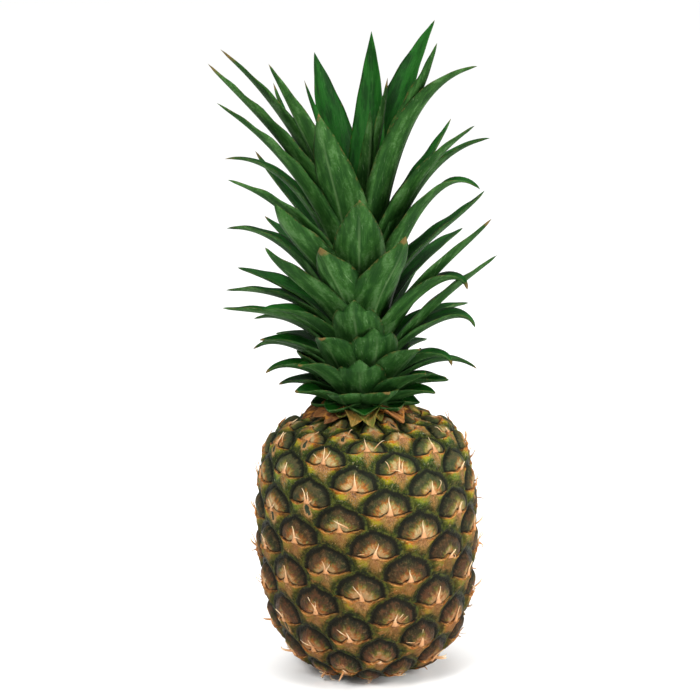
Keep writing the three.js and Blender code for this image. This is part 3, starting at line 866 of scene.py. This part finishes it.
def far_leaf(i):
    """A leaf on the far side: each stands a step higher than the last, at another bearing."""
    share, tip = i / (FAR_COUNT - 1), 20 + 7.7 * i
    side = (i * 0.618) % 1 * 2 - 1
    reach = 46 + 27 * math.sin(share * math.pi)
    return (180 + 78 * side, reach, tip, 22 - 4 * share, -14 + 90 * share, 3 + 0.36 * tip, 3)


leaves = LEAF_TABLE + lowest_leaves + [far_leaf(i) for i in range(FAR_COUNT)]
print(len(leaves), "leaves, and", len(back_leaves), "low ones at the back")

# %% The sleeve that every leaf starts as
LEAF_COLUMNS, LEAF_ROWS = 20, 36  # the columns go over the inner face and back under the outer one
ROWS_TO_TIP = 1.35  # above 1, the rows stand closer towards the tip
cells = {"x_subdivisions": LEAF_COLUMNS, "y_subdivisions": LEAF_ROWS}
sleeve = started(bpy.ops.mesh.primitive_grid_add, "sleeve", size=2, **cells)
grid = np.array([v.co[:2] for v in sleeve.data.vertices])
round_sleeve = (grid[:, 0] + 1) / 2
across = np.where(round_sleeve < 0.5, 4 * round_sleeve - 1, 3 - 4 * round_sleeve)
face = np.where(round_sleeve < 0.5, 1.0, -1.0)
face[np.abs(np.abs(across) - 1) < 1e-6] = 0
leaf_t = 1 - (1 - (grid[:, 1] + 1) / 2) ** ROWS_TO_TIP
drop_maps(sleeve.data)
give_map(sleeve.data, "leaf", np.stack([round_sleeve, leaf_t], 1))

# %% Wrap the sleeve round a midrib
FOOT_THICK, TIP_THICK, EDGE_THICK, LEAST_THICK = 3, 1.3, 0.7, 0.02  # mm
CHANNEL, CHANNEL_POWER = 0.22, 1.7  # its depth as a share of the leaf's width, and how flat its middle is
CURL_START, CURL, CURL_PULL = 0.78, 1.2, 0.4  # where a tip bends, by how many mm, and the share it is pulled back
RIPPLE_LENGTH, FULL_RIPPLE = 3.1, 5  # mm along the edge, and mm of half width from which it has its full height
REAL_MAP_SIZE, HIGHEST_FOOT = 100, 110  # mm across the map of real sizes, and mm up to the youngest leaf's foot
FOLD_BLUNTNESS = 6  # from here on a leaf's tip is folded inwards
FOLD_START, FOLD_ANGLE, FOLD_ROUND = 0.86, 1.1, 1.5  # a share of the length, radians, and mm


def leaf_share(t, bluntness):
    """A leaf's width along its length, as a share of the widest."""
    return (1 - t**bluntness) * (0.7 + 0.37 * t**0.35)


def turn_by(a, b, angle):
    return a * np.cos(angle) - b * np.sin(angle), a * np.sin(angle) + b * np.cos(angle)


def wrap_leaf(row, twist, sway, wave, phase, curl, folded):
    """The sleeve's points round one midrib, in metres, with the leaf's length and its half widths in mm."""
    turn, reach, tip_height, width, tip_slope, foot_height, bluntness = row
    curve, distance = midrib(reach, tip_height, tip_slope, foot_height)
    slope = np.gradient(curve, distance, axis=0)
    here = leaf_t * distance[-1]
    past = np.clip(here - FOLD_START * distance[-1], 0, None) * folded
    r, z, slope_r, slope_z = (np.interp(here - past, distance, c) for c in (*curve.T, *slope.T))
    fold = FOLD_ANGLE * np.clip(past / FOLD_ROUND, 0, 1)
    slope_r, slope_z = turn_by(slope_r, slope_z, fold)
    r, z = r + slope_r * past, z + slope_z * past
    half = width / 2 * leaf_share(leaf_t, bluntness)
    rib = FOOT_THICK + (TIP_THICK - FOOT_THICK) * leaf_t
    thick = (rib + (EDGE_THICK - rib) * np.abs(across) ** 1.2) / 2
    thick = np.minimum(thick, half / 2 + LEAST_THICK)
    ripple = wave * np.sin(here / RIPPLE_LENGTH + phase) * np.abs(across) ** 3 * leaf_t
    lift = 2 * half * CHANNEL * np.abs(across) ** CHANNEL_POWER + face * thick
    bent = curl * np.clip((leaf_t - CURL_START) / (1 - CURL_START), 0, 1) ** 2
    lift = lift + ripple * np.minimum(1, half / FULL_RIPPLE) + bent
    r, z = r - slope_r * bent * CURL_PULL, z - slope_z * bent * CURL_PULL
    aside, lift = turn_by(across * half, lift, np.radians(twist * leaf_t**1.5))
    aside = aside + sway * np.sin(np.pi * leaf_t)
    r, z = r - slope_z * lift, z + slope_r * lift
    angle = math.radians(turn)
    x = r * math.sin(angle) + aside * math.cos(angle)
    y = -r * math.cos(angle) + aside * math.sin(angle)
    return np.stack([x, y, z + CROWN_HEIGHT], 1) * MM, distance[-1], half


def make_leaves(rows, name, wave_size=0.5, twist_size=9, sway_size=2.0, draws=chance):
    """A piece of many leaves. The sizes are how much two leaves may differ, in mm and in degrees."""
    pieces = []
    for row in rows:
        piece = copy_of(sleeve)
        dice = draws.random(5)
        points, length, half = wrap_leaf(
            row,
            twist=(dice[0] - 0.5) * 2 * twist_size,
            sway=(dice[1] - 0.5) * 2 * sway_size,
            wave=wave_size * (0.3 + dice[2]),
            phase=6.28 * dice[3],
            curl=CURL * (2 * dice[3] - 1),
            folded=row[6] >= FOLD_BLUNTNESS,
        )
        move_points(piece.data, points)
        give_map(piece.data, "real", np.stack([across * half, leaf_t * length], 1) / REAL_MAP_SIZE)
        give_reading(piece.data, "own", np.full(len(points), dice[4]))
        give_reading(piece.data, "age", np.full(len(points), row[5] / HIGHEST_FOOT))
        pieces.append(piece)
    made = joined(pieces, name)
    face_outwards(made)
    return made


crown_leaves = make_leaves(leaves, "crown_leaves")
low_back = make_leaves(back_leaves, "low_back", draws=np.random.default_rng(3))
crown_leaves = joined([crown_leaves, low_back], "crown_leaves")
print(len(crown_leaves.data.polygons), "faces in the leaves")

# %% [markdown]
# ## The finish of the leaves
# The outer face of a leaf is a greyer green with a silvery bloom, and the inner face is dark and shinier. Fine lines
# run from foot to tip. The leaf's own map says which face a point is on, and a second map in real millimetres keeps
# the lines equally fine on long and short leaves.

# %% Leaf green
leaf = Finish("leaf", Roughness=0.5, Specular_IOR_Level=0.09)
round_leaf, up_leaf, _ = leaf.parts(leaf.map("leaf"))
aside_mm, along_mm, _ = leaf.parts(leaf.map("real"))
aside_mm, along_mm = aside_mm * REAL_MAP_SIZE, along_mm * REAL_MAP_SIZE
own, age = leaf.reading("own"), leaf.reading("age")
outer = round_leaf.rise(0.49, 0.51)
to_edge = ((round_leaf * 4 - 2).size() - 1).size()
fine_lines = leaf.vector(aside_mm * 2.2, along_mm * 0.05, own * 40).grain(1.6, 3, 0.6)
cloud = leaf.vector(aside_mm * 0.25, along_mm * 0.06, own * 20).grain(1.0, 3, 0.6)
speck = leaf.place().grain(700, 3, 0.7)
cloudy = cloud.rise(0.35, 0.65)
bloom = (cloud + speck.swing(0.6)).rise(0.5, 0.72) * (0.04 + 0.3 * outer)
rib = (aside_mm.size() + fine_lines.swing(0.8)).rise(1.0, 0.2) * up_leaf.rise(0.98, 0.7)
slanting = leaf.vector((aside_mm + along_mm * 0.25) * 2.4, (along_mm - aside_mm * 0.25) * 0.16, own * 70)
scratch = slanting.grain(1.0, 2, 0.5).rise(0.68, 0.74)
inner_tone, outer_tone = leaf.mix(cloudy, "#083208", "#134f0f"), leaf.mix(cloudy, "#15360f", "#2a501c")
green = leaf.coats(
    inner_tone,
    (outer, outer_tone),
    (fine_lines.rise(0.52, 0.75) * 0.3, "#457535"),
    (fine_lines.rise(0.42, 0.25) * 0.45, "#0a2405"),
    (bloom, "#5b7a50"),
    (rib * 0.18 * outer, "#7d9a68"),
    (age.rise(0.36, 0.05) * 0.35, "#0b260a"),
    (scratch * (0.12 + 0.25 * outer), "#86a075"),
)

# %% Leaf edges and tips
worn = leaf.vector(aside_mm * 0.3, along_mm * 0.35, own * 90).grain(1.0, 4, 0.7)
edge_brown = (to_edge + worn.swing(0.5) + (up_leaf - 0.6) * 0.12).rise(0.97, 1.06)
tip_brown = (up_leaf + worn.swing(0.08) + (own - 0.6) * 0.09).rise(0.965, 0.995)
dry_end = leaf.mix(worn, "#3d2f17", "#7a6236")
green = leaf.coats(green, (edge_brown * 0.5, "#5f5529"), (tip_brown * 0.85, dry_end))
shine = 0.38 + 0.16 * outer + 0.12 * fine_lines
leaf_relief = fine_lines + 0.5 * speck + worn * 0.4
crown_leaves.data.materials.append(leaf.wear(green, shine, leaf_relief, depth=0.0004, strength=0.5))
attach(crown_leaves, "root")
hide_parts("crown")
print("leaf finish:", len(leaf.tree.nodes), "nodes")

# %% [markdown]
# ## The stem inside the crown
# The leaves hide the stem almost wholly, but between them its dark green core shows. It is one profile, extruded ring
# by ring from a circle.

# %% The stem
STEM_SIDES = 32
foot_radius, foot_height = STEM_PROFILE[0]
disc = {"vertices": STEM_SIDES, "radius": foot_radius * MM, "fill_type": "NGON"}
crown_stem = started(bpy.ops.mesh.primitive_circle_add, "crown_stem", **disc)
crown_stem.data.name = "crown_stem"
crown_stem.location.z = (CROWN_HEIGHT + foot_height) * MM
edit_all()
for (r0, z0), (r1, z1) in zip(STEM_PROFILE, STEM_PROFILE[1:]):
    bpy.ops.mesh.extrude_region_move(TRANSFORM_OT_translate={"value": (0, 0, (z1 - z0) * MM)})
    bpy.ops.transform.resize(value=(r1 / r0, r1 / r0, 1))
turn_faces()
bpy.ops.object.transform_apply(location=True, rotation=True, scale=True)
bpy.ops.object.shade_smooth_by_angle(angle=math.radians(40))
pith = Finish("stem_green", Roughness=0.6, Specular_IOR_Level=0.09)
rings = pith.place().grain(160, 3, 0.6)
crown_stem.data.materials.append(pith.wear(pith.mix(rings, "#0f260a", "#1f3d12"), bump=rings))
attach(crown_stem, "root")
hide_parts("crown")

# %% [markdown]
# ## Dry bracts at the neck
# Where the crown leaves the fruit, small three-cornered bracts have dried to brown and orange paper. They are short
# leaves in shape, so the same sleeve serves, with more curl and waves and a dry finish.

# %% Neck bracts
NECK_COUNT, NECK_TURN = 24, 137.5
NECK_CHANGES = {"wave_size": 1.5, "twist_size": 34, "sway_size": 2.5}


def neck_bract(i):
    """The later ones grow lower down, reach further and hang more."""
    turn = i * NECK_TURN % 360
    low = i / (NECK_COUNT - 1)
    dice = chance.random(3)
    reach = 22 + 10 * low + 5 * dice[0] ** 2
    tip = 6.2 - 4.6 * low + 1.6 * dice[1]
    return (turn, reach, tip, 14 + 8 * dice[2], 2 - 30 * low, 5.2, 1.7 + dice[0])


neck_bracts = make_leaves([neck_bract(i) for i in range(NECK_COUNT)], "neck_bracts", **NECK_CHANGES)
husk = Finish("dry_husk", Roughness=0.75, Specular_IOR_Level=0.2)
across_map, along_map, _ = husk.parts(husk.map("real"))
own = husk.reading("own")
lines = husk.vector(across_map * 160, along_map * 12, own * 30).grain(1.4, 4, 0.7)
tone = husk.coats(
    "#4a2a13",
    (own.rise(0.25, 0.75), "#8f5c30"),
    (own.rise(0.74, 0.78), "#55591c"),
    (husk.place().grain(260, 3, 0.6).rise(0.5, 0.66) * 0.7, "#b07428"),
    (lines.rise(0.5, 0.72) * 0.5, "#c79a62"),
    (lines.rise(0.45, 0.3) * 0.6, "#4a2c16"),
)
neck_bracts.data.materials.append(husk.wear(tone, 0.65 + 0.2 * lines, lines, depth=0.0004))
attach(neck_bracts, "root")
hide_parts("fruit")
bpy.data.objects.remove(sleeve)
print(NECK_COUNT, "neck bracts")

# %% [markdown]
# ## Loose fibres
# Strands of dry fibre stand off the rind, most of them near the base. A strand is a thin tapering thread, extruded
# once and bent along a different small arc in each copy.

# %% Fibres
FIBRE_COUNT, FIBRE_SIDES, FIBRE_STEPS = 70, 4, 9
FIRST_EYE = 6  # the eyes above it lie under the crown
FIBRE_LEAST = np.array([-6, -8, -3, 1.5, 0.32])  # start, reach, rise, lift and thickness in mm
FIBRE_SPREAD = np.array([12, 16, 9, 3.2, 0.2])
thread = upright_thread(FIBRE_SIDES, FIBRE_STEPS)


def bend_fibre(level, half, start, reach, rise, lift, thin):
    """A thread from near an eye's lip, out and over in a small arc. All but the eye are in mm."""
    piece = copy_of(thread)
    ring = np.array([v.co for v in piece.data.vertices])
    t = ring[:, 2]
    width = thin * (1 - 0.85 * t)
    climb = rise + 2 - 4 * t
    aside = width * ring[:, 0] / (np.hypot(reach, climb) + 1e-6)
    u = start + reach * t + aside * climb
    v = 0.5 + (rise + 2) * t - 2 * t**2 - aside * reach
    height = 3.0 + lift * np.sin(np.pi * 0.62 * t) + width * ring[:, 1]
    move_points(piece.data, eye_points(level, half, u, v, height))
    give_reading(piece.data, "own", np.full(len(t), chance.random()))
    give_reading(piece.data, "along", t)
    return piece


def loose_fibre(eye_index):
    return bend_fibre(*eyes[eye_index], *(FIBRE_LEAST + FIBRE_SPREAD * chance.random(5)))


def strand(turn, height, reach, rise, lift, thin):
    """A longer thread from the eye that is nearest to a bearing and a height in mm."""
    middles = np.array([eye_middle(*eye) for eye in eyes])
    heights = skin_points(middles[:, 0], middles[:, 1], 0)[:, 2] / MM
    off = np.abs((middles[:, 0] - turn + 180) % 360 - 180)
    nearest = int(np.argmin(off + 2 * np.abs(heights - height)))
    return bend_fibre(*eyes[nearest], 0, reach, rise, lift, thin)


STRANDS = [  # bearing, height, then reach, rise, lift and thickness
    (-62, 20, -9, 3, 4, 1.1), (-76, 26, -6, 1, 4.5, 0.9), (-30, 8, -9, -4, 4, 1.2), (-18, 8, -6, -5, 5, 0.9),
    (40, 12, 9, 1, 4.5, 1.2), (56, 16, 7, 3, 4, 0.9), (-84, 62, -2, 5, 4, 0.9), (-88, 76, 2, 5, 3.5, 0.8),
    (-92, 96, -2, 5, 3, 0.8), (84, 88, 3, 5, 4.5, 0.9), (78, 68, 4, -4, 4, 0.9), (90, 50, 3, 5, 4, 0.8),
    (86, 120, 3, 5, 3, 0.8), (150, 18, 8, 3, 4, 0.9), (-140, 30, -6, 4, 4, 0.8), (180, 70, 4, 5, 4, 0.8),
]


picked = chance.choice(np.arange(FIRST_EYE, len(eyes)), FIBRE_COUNT, replace=True)
fibres = joined([loose_fibre(i) for i in picked] + [strand(*row) for row in STRANDS], "fibres")
bpy.data.objects.remove(thread)
face_outwards(fibres, merge=0.001)
fibres.data.materials.append(papery.material)
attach(fibres, "root")
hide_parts("fruit")
print(FIBRE_COUNT + len(STRANDS), "fibres")

# %% [markdown]
# ## The stalk's cut end
# Under the fruit the stalk was cut through. The CAD piece has the right shape, so it stays and only gets a finish:
# pale pith with tough bundles as dots, and a brown rim.

# %% Stalk
cut = Finish("cut_stalk", Roughness=0.85, Specular_IOR_Level=0.15)
place = cut.place()
x, y, z = cut.parts(place)
from_axis = (x * x + y * y) ** 0.5
dots = cut.node("ShaderNodeTexVoronoi", {}, {"Vector": place, "Scale": 620})
pith_grain = place.grain(500, 3, 0.6)
tone = cut.coats(
    "#c9ab78",
    (pith_grain, "#a98350"),
    (dots.rise(0.28, 0.12) * 0.7, "#7a5128"),
    ((from_axis + pith_grain.swing(0.002)).rise(0.0102, 0.0116), "#5c3b1e"),
)
stalk = nodes["stalk"]
stalk.data.materials.clear()
stalk.data.materials.append(cut.wear(tone, bump=dots + pith_grain, depth=0.0005))
